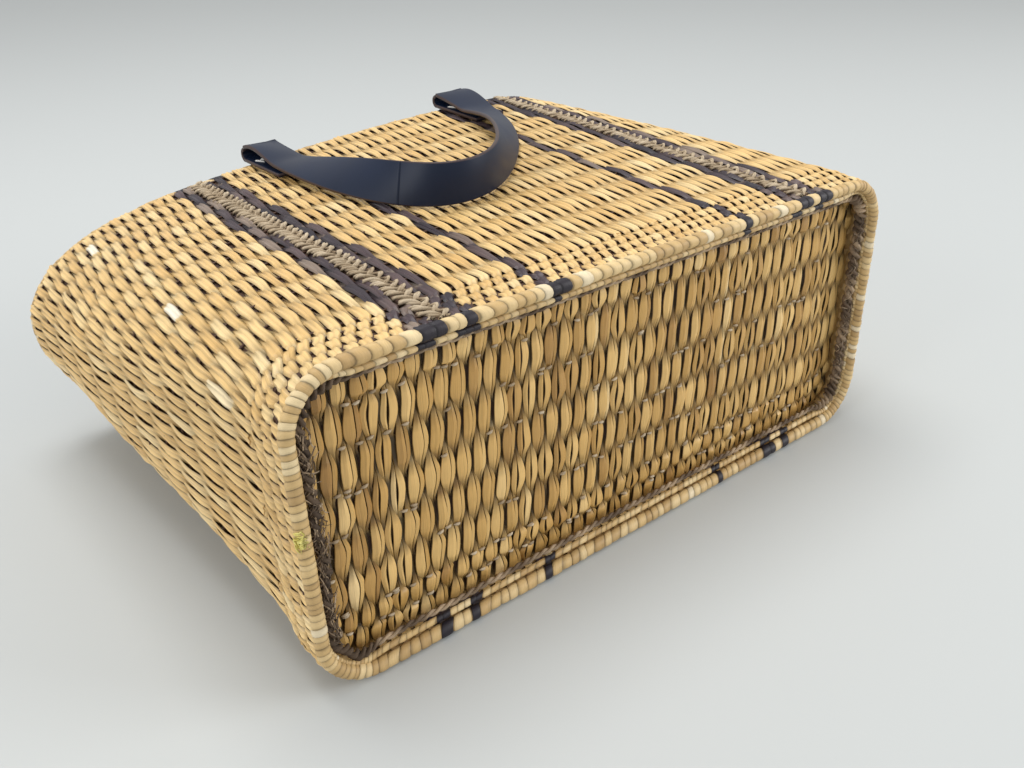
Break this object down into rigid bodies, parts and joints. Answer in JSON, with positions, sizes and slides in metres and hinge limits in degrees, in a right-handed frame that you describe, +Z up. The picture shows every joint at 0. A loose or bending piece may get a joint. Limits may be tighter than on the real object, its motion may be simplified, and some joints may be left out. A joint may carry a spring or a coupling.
{
  "type": "straw tote bag",
  "caption": "Woven straw tote bag lying on its side: tapered woven wall with dark stripes, woven base in a wrapped foot rim, open mouth and flat strap handles that swing.",
  "frame": {"origin": "middle of the part on the plane that the bag lies on", "axes": "+X along the base's long side, +Y from the base to the mouth and on to the lower handle loop, +Z up from the plane that it lies on"},
  "size_m": [0.4638, 0.4822, 0.1914],
  "materials": {
    "wall_straw": "shiny pale straw strands",
    "dark_straw": "dyed purple-brown straw strands",
    "grey_twine": "matt twisted grass cord",
    "rim_straw": "wrapped straw",
    "base_straw": "folded straw strands",
    "brown_twine": "matt twisted twine",
    "strap": "smooth navy-black strap",
    "thread": "white sewing thread"
  },
  "bodies": {
    "bag": {"side_wall": "wall_straw", "dark_strands": "dark_straw", "stripe_cords": "grey_twine", "foot_rim": "rim_straw", "mouth_rim": "rim_straw", "base_panel": "base_straw", "base_lacing": "brown_twine", "upper_strap_ends": "strap", "upper_stitches": "thread", "lower_strap_ends": "strap", "lower_stitches": "thread"},
    "upper_handle": {"upper_strap": "strap"},
    "lower_handle": {"lower_strap": "strap"}
  },
  "joints": [
    {"name": "upper_handle_swing", "type": "hinge", "parent": "bag", "child": "upper_handle", "pos_m": [0.007, 0.0632, 0.16739], "axis": [-0.997, 0, -0.0772], "range_deg": [0, 175]},
    {"name": "lower_handle_swing", "type": "hinge", "parent": "bag", "child": "lower_handle", "pos_m": [0, 0.0638, 0.0039], "axis": [1, 0, 0], "range_deg": [0, 75]}
  ]
}
